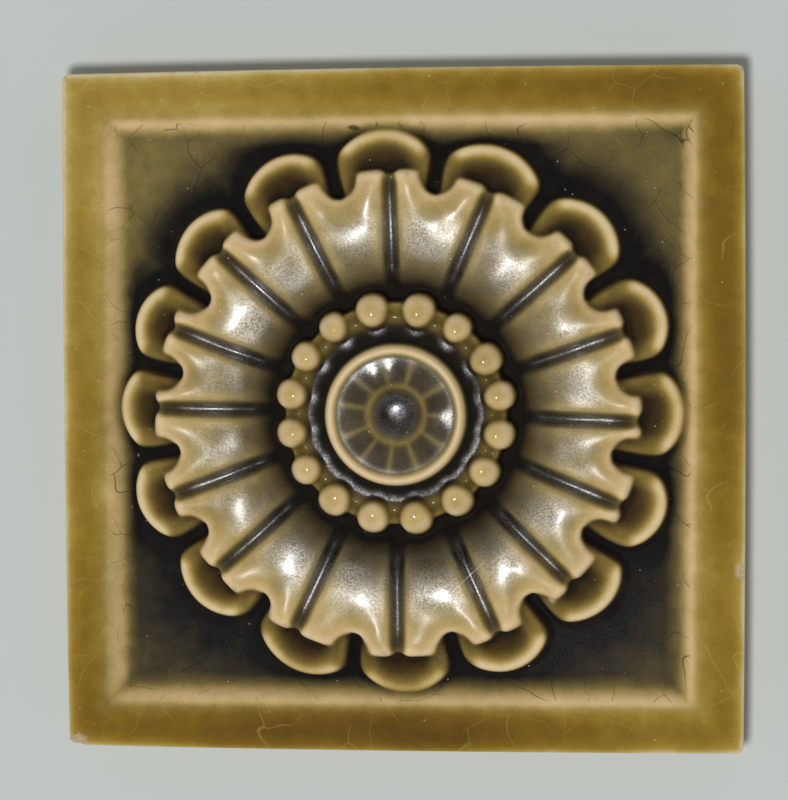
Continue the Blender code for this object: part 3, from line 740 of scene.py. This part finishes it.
def bare_clay(grid, face, height):
    """Where the clay shows: in the chips and on worn horns."""
    bare = smooth((height - chip_height(grid.x, grid.y)) / 0.15)
    turn = np.radians(face.angles)
    x, y = face.r * np.cos(turn), face.r * np.sin(turn)
    frayed = 0.6 * grid.noise(7, 0.4)
    for place, reach in WORN_HORNS:
        middle = math.radians(place)
        far = np.hypot(x - reach * math.cos(middle), y - reach * math.sin(middle))
        bare = np.maximum(bare, smooth(1.5 - far / WORN_WIDTH + frayed))
    return bare


def by_length(points, count):
    """Points at even steps along a line, leaving out its last one."""
    steps = np.hypot(*np.diff(points, axis=0).T)
    reach = np.concatenate([[0], np.cumsum(steps)])
    wanted = np.arange(count) / count * reach[-1]
    return np.stack([np.interp(wanted, reach, points[:, k]) for k in range(2)], 1)


def ring_along(line, edges, out):
    """A ring of the edge that line gives, in sectors between these angles, with even steps in each."""
    found = []
    for start, end in zip(edges, after(edges)):
        angles = np.linspace(start, end, OUTLINE_SAMPLES)
        r = line(angles, out)
        points = by_length(np.stack([np.radians(angles) * r.mean(), r], 1), COLUMNS_PER_SECTOR)
        found.append(np.stack([points[:, 1], np.degrees(points[:, 0] / r.mean())], 1))
    return np.concatenate(found).T


def even_ring(r, edges):
    """A round ring whose sectors between these angles have even steps."""
    sectors = zip(edges, after(edges))
    steps = [np.linspace(start, end, COLUMNS_PER_SECTOR, endpoint=False) for start, end in sectors]
    angles = np.concatenate(steps)
    return np.stack([np.broadcast_to(r, angles.shape), angles])


def between(inner, outer, count):
    """This many rings from just after the inner one up to the outer one."""
    return [mixed(inner, outer, step / count) for step in range(1, count + 1)]


def onward(rings, stops):
    """These rings, carried on to each stop in its number of steps."""
    for ring, count in stops:
        rings = rings + between(rings[-1], ring, count)
    return rings


def placed(ring):
    """The x and y of a ring that is given as radii and angles."""
    turn = np.radians(ring[1])
    dx, dy = ring_offset(ring[0])
    return np.stack([dx + ring[0] * np.cos(turn), dy + ring[0] * np.sin(turn)])


def cup_rings(angles):
    """The rings inside the channel, from the centre outwards."""
    radii = np.concatenate([
        np.linspace(PIT_R * 0.3, PIT_R, 8),
        np.linspace(PIT_R, PIT_LIP_R, 5)[1:],
        np.linspace(PIT_LIP_R, SAUCER_R, 17)[1:],
        np.linspace(SAUCER_R, CUP_FOOT_R, 15)[1:],
        np.linspace(CUP_FOOT_R, CHANNEL_R, 4)[1:-1],
    ])
    return [placed(np.stack([np.full(len(angles), r), angles])) for r in radii]


def rosette_rings():
    """The rings of the collar, the petals and the lobes, from the channel outwards."""
    gaps = (np.append(BEADS[-1] - 360, BEADS[:-1]) + BEADS) / 2
    beads = even_ring(1.0, gaps)[1]
    outline = np.stack([collar_outline(beads), beads])
    channel = np.stack([np.full(COLUMNS, CHANNEL_R), beads])
    collar = np.stack([np.full(COLUMNS, COLLAR_R), beads])
    foot = outline + np.array([[COLLAR_WALL_WIDTH + 0.2], [0]])
    crest = even_ring(CREST_R, GROOVES)
    slope = even_ring(FOOT_R + 3.5, GROOVES)
    edges = [ring_along(petal_line, GROOVES, out) for out in PETAL_EDGE_STEPS]
    angles = edges[-1][1]
    mouth = np.stack([mouth_line(angles), angles])
    rims = [np.stack([lobe_line(angles, out), angles]) for out in LOBE_EDGE_STEPS]
    brink = outline - np.array([[0.2], [0]])
    stops = ((collar, 4), (brink, 15), (foot, 4), (slope, 6), (crest, 18), (edges[0], 12))
    rings = onward([channel], stops) + edges[1:]
    rings = onward(rings, ((mouth, 6), (rims[0], 11))) + rims[1:]
    return [placed(ring) for ring in rings]


def square_ring(inset, turn):
    """The square this far inside the border's inner edge: a point at each angle, and one at each corner."""
    quad = corners(BORDER_WIDTH + inset, INNER_PULL)
    ray = np.stack([np.cos(turn), np.sin(turn)], 1)
    points = cast(ray, quad)
    for corner in corners(BORDER_WIDTH, INNER_PULL):
        nearest_ray = np.argmax(ray @ corner)
        points[nearest_ray] = quad[np.argmax(quad @ corner)]
    return points.T


def frame_rings(foot):
    """The rings from the foot of the lobes to the border's inner edge, kept clear of the lobes."""
    reach = np.hypot(*foot)
    turn = np.arctan2(foot[1], foot[0])
    insets = (SHOULDER_WIDTH + 0.3, *np.linspace(SHOULDER_WIDTH - 0.4, -0.2, 10), -0.6, -1.2)
    rings = []
    for number, inset in enumerate(insets, start=1):
        square = square_ring(inset, turn)
        out = np.maximum(1, (reach + number * 0.12) / np.hypot(*square))
        rings.append(square * out)
    return between(foot, rings[0], 9) + rings[1:]


def rounded_outline(inset, samples=4000):
    """The tile's outline this far in from its edge, with rounded corners, as a closed line from +X."""
    quad = corners(inset, OUTER_PULL)
    turn = np.linspace(0, 2 * math.pi, samples)
    points = cast(np.stack([np.cos(turn), np.sin(turn)], 1), quad)
    for corner in quad:
        outward = np.sign(corner)
        middle = corner - outward * CORNER_ROUND
        past = (points - middle) * outward
        near = (past > 0).all(1)
        reach = np.hypot(*past[near].T)[:, None]
        points[near] = middle + outward * past[near] / reach * CORNER_ROUND
    return points + bow(*points.T).T


def bow(x, y):
    """How far a point moves out with the tile's slightly bowed sides."""
    across, along = x / (TILE_SIDE / 2), y / (TILE_SIDE / 2)
    return SIDE_BOW * np.stack([across**3 * (1 - along**2), along**3 * (1 - across**2)])


def outline_shares():
    """Where along the outline each column ends, so that the corners get more columns."""
    line = rounded_outline(0.0)
    steps = np.hypot(*np.diff(line, axis=0).T)
    middle = (line[1:] + line[:-1]) / 2
    near = np.min([np.hypot(*(middle - corner).T) for corner in corners(0, OUTER_PULL)], 0)
    weight = steps * (1 + 2.5 * np.exp(-((near / 2.5) ** 2)))
    return np.concatenate([[0], np.cumsum(weight)]) / weight.sum()


def outline_ring(inset, shares, turn):
    """The outline this far in, with one point for each column."""
    line = rounded_outline(inset)
    first = turn[0] / (2 * math.pi)
    wanted = (np.arange(COLUMNS) / COLUMNS + first) % 1
    return np.stack([np.interp(wanted, shares, line[:, k]) for k in range(2)])


def slab_rings(inner):
    """The border from its inner edge out, then arris, side and the back's edge with their heights."""
    turn = np.arctan2(inner[1], inner[0])
    shares = outline_shares()
    arris = [outline_ring(inset, shares, turn) for inset in (2.5, 1.4, ARRIS_ROUND)]
    border = between(inner, arris[0], 7) + arris[1:]
    rounds = []
    for step in range(1, 5):
        lean = math.pi / 2 * step / 4
        ring = outline_ring(ARRIS_ROUND * (1 - math.sin(lean)), shares, turn)
        rounds.append((ring, BORDER_HEIGHT - ARRIS_ROUND * (1 - math.cos(lean))))
    for share in (0.25, 0.5, 0.75, 1.0):
        height = mixed(BORDER_HEIGHT - ARRIS_ROUND, 0.0, share)
        rounds.append((outline_ring(BACK_DRAFT * share, shares, turn), height))
    back = outline_ring(BACK_DRAFT, shares, turn)
    rounds.append((back * 0.5, 0.0))
    return border, rounds


def tile_rings(grid, height):
    """The tile's rings from the middle of its face to the middle of its back, and how far down they are."""
    rosette = rosette_rings()
    _, angles = to_rosette(*rosette[0])
    cup = cup_rings(angles[::CENTRE_COLUMNS_SHARE])
    frame_ring = frame_rings(rosette[-1])
    border, rounds = slab_rings(frame_ring[-1])
    inner = [np.array(CUP_OFFSET)[:, None]] + cup + rosette + frame_ring + border
    face = [np.stack([*ring, grid.read(height, *ring)]) for ring in inner]
    edge = [np.stack([*ring, np.full(COLUMNS, z)]) for ring, z in rounds]
    drops = [np.zeros(ring.shape[1]) for ring in face]
    drops += [BORDER_HEIGHT - ring[2] for ring in edge]
    for ring in face + edge:
        ring[2] = np.minimum(ring[2], np.maximum(chip_height(*ring[:2]), 0))
    return face + edge + [np.zeros((3, 1))], np.concatenate([*drops, [BORDER_HEIGHT]])


def added(name, data):
    """A new object of this name in the scene."""
    made = bpy.data.objects.new(name, data)
    bpy.context.scene.collection.objects.link(made)
    return made


def build_tile(grid, height, layers):
    """The tile as one closed mesh that carries the glaze's layers as point attributes."""
    rings, drops = tile_rings(grid, height)
    starts = np.cumsum([0] + [ring.shape[1] for ring in rings])
    loops = [list(range(start, end)) for start, end in zip(starts, starts[1:])]
    faces = []
    for inner, outer in zip(loops[1:], loops[2:-1]):
        faces += bridged(inner, outer)
    first, last = loops[1], loops[-2]
    faces += [(loops[0][0], first[k], first[(k + 1) % len(first)]) for k in range(len(first))]
    faces += [(loops[-1][0], last[(k + 1) % len(last)], last[k]) for k in range(len(last))]
    points = np.concatenate(rings, axis=1)
    data = bpy.data.meshes.new("tile_glazed")
    data.from_pydata((points.T * MM).tolist(), [], faces)
    found = {name: grid.read(values, points[0], points[1]) for name, values in layers.items()}
    for name, values in {**found, "drop": drops}.items():
        attribute = data.attributes.new(name, "FLOAT", "POINT")
        attribute.data.foreach_set("value", values.astype(np.float32))
    data.shade_smooth()
    return added("tile_glazed", data)


def bridged(inner, outer):
    """Faces between two rings. Several points of a fuller outer ring meet one inner point."""
    many = len(outer) // len(inner)
    faces = []
    for k in range(len(inner)):
        after_k = (k + 1) % len(inner)
        run = [outer[(many * k + step) % len(outer)] for step in range(many + 1)]
        half = many // 2
        for step in range(many):
            if step < half:
                faces.append((inner[k], run[step], run[step + 1]))
            elif step == half:
                faces.append((inner[k], run[step], run[step + 1], inner[after_k]))
            else:
                faces.append((inner[after_k], run[step], run[step + 1]))
    return faces


class Nodes:
    """Short names for building a material's nodes."""

    def __init__(self, name):
        self.material = bpy.data.materials.new(name)
        self.material.use_nodes = True
        self.tree = self.material.node_tree
        self.shader = self.tree.nodes["Principled BSDF"]

    def add(self, kind, inputs=(), **settings):
        """A node of this kind, with its settings, and with numbers or sockets put into its inputs."""
        node = self.tree.nodes.new("ShaderNode" + kind)
        for key, value in settings.items():
            setattr(node, key, value)
        for key, value in dict(inputs).items():
            self.put(node.inputs[key], value)
        return node

    def put(self, socket, value):
        """Links a socket or sets a plain value."""
        if isinstance(value, bpy.types.NodeSocket):
            self.tree.links.new(value, socket)
        else:
            socket.default_value = value

    def shade(self, name, value):
        """Links or sets an input of the material's shader."""
        self.put(self.shader.inputs[name], value)

    def math(self, operation, *values, clamp=False):
        """The result of one sum or comparison."""
        inputs = dict(enumerate(values))
        return self.add("Math", inputs, operation=operation, use_clamp=clamp).outputs[0]

    def times(self, a, b):
        """Two values multiplied."""
        return self.math("MULTIPLY", a, b)

    def millimetres(self):
        """The place on the tile in millimetres."""
        place = self.add("TexCoord").outputs["Object"]
        return self.add("VectorMath", {0: place, "Scale": 1 / MM}, operation="SCALE").outputs[0]

    def layer(self, name):
        """One of the values that the mesh carries."""
        return self.add("Attribute", attribute_name=name).outputs["Fac"]

    def noise(self, place, scale, detail):
        """Soft random blotches from 0 to 1, this many to a millimetre."""
        inputs = {"Vector": place, "Scale": scale, "Detail": detail}
        return self.add("TexNoise", inputs).outputs["Fac"]

    def between(self, value, low, high):
        """A smooth step from 0 at low to 1 at high, or the other way where low is the greater."""
        inputs = {"Value": value, "From Min": low, "From Max": high}
        return self.add("MapRange", inputs, interpolation_type="SMOOTHSTEP").outputs["Result"]

    def mix(self, share, low, high):
        """The colour this share of the way from low to high."""
        node = self.add("Mix", data_type="RGBA")
        sockets = {socket.name: socket for socket in node.inputs if socket.enabled}
        for key, value in (("Factor", share), ("A", low), ("B", high)):
            self.put(sockets[key], value)
        return next(socket for socket in node.outputs if socket.enabled)

    def crazing(self, place):
        """Fine wandering cracks round plates of about a centimetre, broken off here and there."""
        wander = self.add("TexNoise", {"Vector": place, "Scale": 0.05, "Detail": 1.5})
        inputs = {0: wander.outputs["Color"], 1: (30.0, 30.0, 0.0), 2: place}
        bent = self.add("VectorMath", inputs, operation="MULTIPLY_ADD").outputs[0]
        settings = {"feature": "DISTANCE_TO_EDGE", "voronoi_dimensions": "2D"}
        plates = self.add("TexVoronoi", {"Vector": bent, "Scale": 0.1}, **settings)
        line = self.between(plates.outputs["Distance"], 0.016, 0.003)
        return self.times(line, self.between(self.noise(place, 0.1, 2.0), 0.42, 0.6))

    def scratch(self, place, ends, width):
        """A thin line between two points of the face."""
        (x, y), (end_x, end_y) = ends
        length = math.hypot(end_x - x, end_y - y)
        inputs = {"Vector": place, "Center": (x, y, 0), "Angle": -math.atan2(end_y - y, end_x - x)}
        turn = self.add("VectorRotate", inputs, rotation_type="Z_AXIS")
        apart = self.add("SeparateXYZ", {0: turn.outputs["Vector"]}).outputs
        along = self.math("DIVIDE", self.math("SUBTRACT", apart["X"], x), length)
        ends_in = self.times(self.between(along, 0.0, 0.1), self.between(along, 1.0, 0.7))
        across = self.math("ABSOLUTE", self.math("SUBTRACT", apart["Y"], y))
        return self.times(self.between(across, width, width / 3), ends_in)

    def specks(self, place):
        """Tiny pale specks, about ten to a square centimetre."""
        cells = self.add("TexVoronoi", {"Vector": place, "Scale": 0.6})
        chance = self.add("SeparateColor", {0: cells.outputs["Color"]})
        reach = self.between(chance.outputs[0], 0.7, 1.0)
        near = self.math("SUBTRACT", self.times(reach, 0.1), cells.outputs["Distance"])
        return self.between(near, -0.01, 0.02)

    def ramp(self, share, stops):
        """A colour ramp through these stops, each a place and a colour as eyes see it, from 0 to 255."""
        node = self.add("ValToRGB", {0: share})
        ramp = node.color_ramp
        while len(ramp.elements) < len(stops):
            ramp.elements.new(1.0)
        for element, (place, colour) in zip(ramp.elements, stops):
            element.position = place
            element.color = (*linear(colour), 1)
        return node.outputs["Color"]


def linear(colour):
    """A colour given from 0 to 255 as a screen shows it, as amounts of light."""
    shares = np.array(colour, float) / 255
    return np.where(shares <= 0.04045, shares / 12.92, ((shares + 0.055) / 1.055) ** 2.4).tolist()


# Colours as a screen shows them, from 0 to 255, by the glaze's depth or the clay's mottling, and of
# the lines and specks in the glaze. The black of the cracks and the room are given as amounts of light
INNER_GLAZE = (
    (0.0, (216, 190, 145)),
    (0.15, (196, 168, 116)),
    (0.3, (160, 138, 82)),
    (0.45, (118, 103, 57)),
    (0.6, (88, 77, 44)),
    (0.8, (50, 43, 25)),
    (1.0, (4, 3, 2)),
)
GOLDEN_GLAZE = (
    (0.0, (205, 190, 150)),
    (0.15, (182, 162, 100)),
    (0.3, (160, 134, 58)),
    (0.45, (139, 111, 34)),
    (0.6, (118, 89, 18)),
    (0.8, (94, 68, 12)),
    (1.0, (56, 40, 12)),
)
CRAZE_COLOUR = (196, 170, 92)
SPECK_COLOUR = (205, 200, 180)
CLAY = (
    (0.0, (150, 132, 100)),
    (0.5, (186, 166, 130)),
    (1.0, (206, 188, 154)),
)
CRACK_COLOUR = (0.001, 0.001, 0.001)
FLOOR_COLOUR = (195, 200, 196)

# The room's light by how high it comes from: pale sides and a dark ceiling
ROOM_LIGHT = ((0.3, (0.8, 0.82, 0.84)), (0.85, (0.015, 0.015, 0.017)))


def glaze_colour(nodes, place):
    """Cream on edges to black in hollows, golden on the border, with mottling, crazing and specks."""
    mottle = nodes.math("MULTIPLY_ADD", nodes.noise(place, 0.3, 6.0), 0.2, -0.1)
    grain = nodes.math("MULTIPLY_ADD", nodes.noise(place, 2.6, 3.0), 0.16, -0.08)
    share = nodes.math("ADD", nodes.math("ADD", nodes.layer("glaze"), mottle), grain, clamp=True)
    warmth = nodes.layer("warmth")
    colour = nodes.mix(warmth, nodes.ramp(share, INNER_GLAZE), nodes.ramp(share, GOLDEN_GLAZE))
    crazing = nodes.crazing(place)
    pale = nodes.times(crazing, nodes.times(nodes.between(warmth, 0.5, 1.0), 0.24))
    colour = nodes.mix(pale, colour, (*linear(CRAZE_COLOUR), 1))
    dark = nodes.times(crazing, nodes.times(nodes.between(warmth, 0.08, 0.02), 0.7))
    colour = nodes.mix(dark, colour, (*CRACK_COLOUR, 1))
    pale = nodes.math("MAXIMUM", nodes.specks(place), nodes.scratch(place, SCRATCH, SCRATCH_WIDTH))
    return nodes.mix(nodes.times(pale, 0.7), colour, (*linear(SPECK_COLOUR), 1))


def glaze_material():
    """Glaze that is glossy or dull by its layer, under a coat that is a silvery haze, and bare clay."""
    nodes = Nodes("glaze")
    place = nodes.millimetres()
    runs = nodes.math("MULTIPLY_ADD", nodes.noise(place, 0.25, 3.0), 9.0, -1.5)
    bare_side = nodes.between(nodes.math("SUBTRACT", nodes.layer("drop"), runs), 0.0, 0.6)
    bare = nodes.math("MAXIMUM", nodes.layer("bare"), bare_side)
    clay = nodes.ramp(nodes.noise(place, 1.2, 6.0), CLAY)
    nodes.shade("Base Color", nodes.mix(bare, glaze_colour(nodes, place), clay))
    glazed = nodes.math("SUBTRACT", 1.0, bare)
    gloss = nodes.times(nodes.layer("gloss"), glazed)
    nodes.shade("Roughness", nodes.math("MULTIPLY_ADD", gloss, GLOSSY - DULL, DULL))
    clay_grain = nodes.times(nodes.noise(place, 1.5, 8.0), bare)
    rough = nodes.math("MULTIPLY_ADD", clay_grain, 12.0, nodes.noise(place, 2.2, 1.0))
    bump = nodes.add("Bump", {"Height": rough, "Strength": 1.0, "Distance": FOIL_RELIEF * MM})
    nodes.shade("Normal", bump.outputs["Normal"])
    silver = nodes.between(nodes.noise(place, 2.4, 3.0), 0.3, 0.7)
    haze = nodes.times(nodes.layer("lustre"), nodes.math("MULTIPLY_ADD", silver, 0.8, 0.2))
    nodes.shade("Coat Weight", nodes.times(haze, glazed))
    nodes.shade("Specular IOR Level", GLOSS_LEVEL)
    nodes.shade("Coat Roughness", HAZE_ROUGHNESS)
    nodes.shade("Coat IOR", HAZE_IOR)
    return nodes.material


def floor_material():
    """Plain pale grey."""
    nodes = Nodes("floor")
    nodes.shade("Base Color", (*linear(FLOOR_COLOUR), 1))
    nodes.shade("Roughness", 0.9)
    nodes.shade("Specular IOR Level", 0.1)
    return nodes.material


def add_floor():
    """The pale ground that the tile lies on."""
    data = bpy.data.meshes.new("floor")
    half = FLOOR_WIDTH * MM / 2
    ends = [(-half, -half, 0), (half, -half, 0), (half, half, 0), (-half, half, 0)]
    data.from_pydata(ends, [], [(0, 1, 2, 3)])
    data.materials.append(floor_material())
    floor = added("floor", data)


def add_camera():
    """The camera, nearly square above the tile, turned as the photograph was taken."""
    data = bpy.data.cameras.new("camera")
    data.sensor_width = SENSOR
    data.lens = FOCAL_PIXELS * SENSOR / IMAGE_HEIGHT
    camera = added("camera", data)
    tilt_x, tilt_y = (math.tan(math.radians(tilt)) for tilt in VIEW_TILT)
    toward = Vector((tilt_x, tilt_y, 1)).normalized()
    target = Vector(TARGET) * MM
    right = Vector((0, 1, 0)).cross(toward).normalized()
    up = toward.cross(right)
    roll = math.radians(VIEW_ROLL)
    turned_right = right * math.cos(roll) + up * math.sin(roll)
    turned_up = up * math.cos(roll) - right * math.sin(roll)
    axes = Matrix((turned_right, turned_up, toward)).transposed().to_4x4()
    camera.matrix_world = Matrix.Translation(target + toward * VIEW_DISTANCE * MM) @ axes
    bpy.context.scene.camera = camera


def add_key_light():
    """One small soft lamp above the lower left of the tile."""
    data = bpy.data.lights.new("key", "AREA")
    data.shape = "DISK"
    data.size = KEY_DIAMETER * MM
    data.energy = KEY_POWER
    lamp = added("key", data)
    place = Vector(KEY_PLACE) * MM
    lamp.location = place
    lamp.rotation_euler = (-place).to_track_quat("-Z", "Y").to_euler()


def add_world():
    """A dark ceiling over a dim room that lights from the sides."""
    world = bpy.data.worlds.new("room")
    bpy.context.scene.world = world
    world.use_nodes = True
    tree = world.node_tree
    direction = tree.nodes.new("ShaderNodeTexCoord").outputs["Generated"]
    split = tree.nodes.new("ShaderNodeSeparateXYZ")
    ramp = tree.nodes.new("ShaderNodeValToRGB")
    tree.links.new(direction, split.inputs[0])
    tree.links.new(split.outputs["Z"], ramp.inputs[0])
    for element, (place, colour) in zip(ramp.color_ramp.elements, ROOM_LIGHT):
        element.position = place
        element.color = (*colour, 1)
    background = tree.nodes["Background"]
    tree.links.new(ramp.outputs["Color"], background.inputs["Color"])
    background.inputs["Strength"].default_value = 1.0


grid = Grid()
face = Face(grid)
height = relief(grid, face)
layers = glaze_layers(grid, face, height)
tile = build_tile(grid, grid.blurred(height, GLAZE_ROUNDING), layers)
tile.data.materials.append(glaze_material())
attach(tile, "root")
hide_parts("tile")
add_floor()
add_camera()
add_key_light()
add_world()
bpy.context.scene.view_settings.view_transform = "Standard"
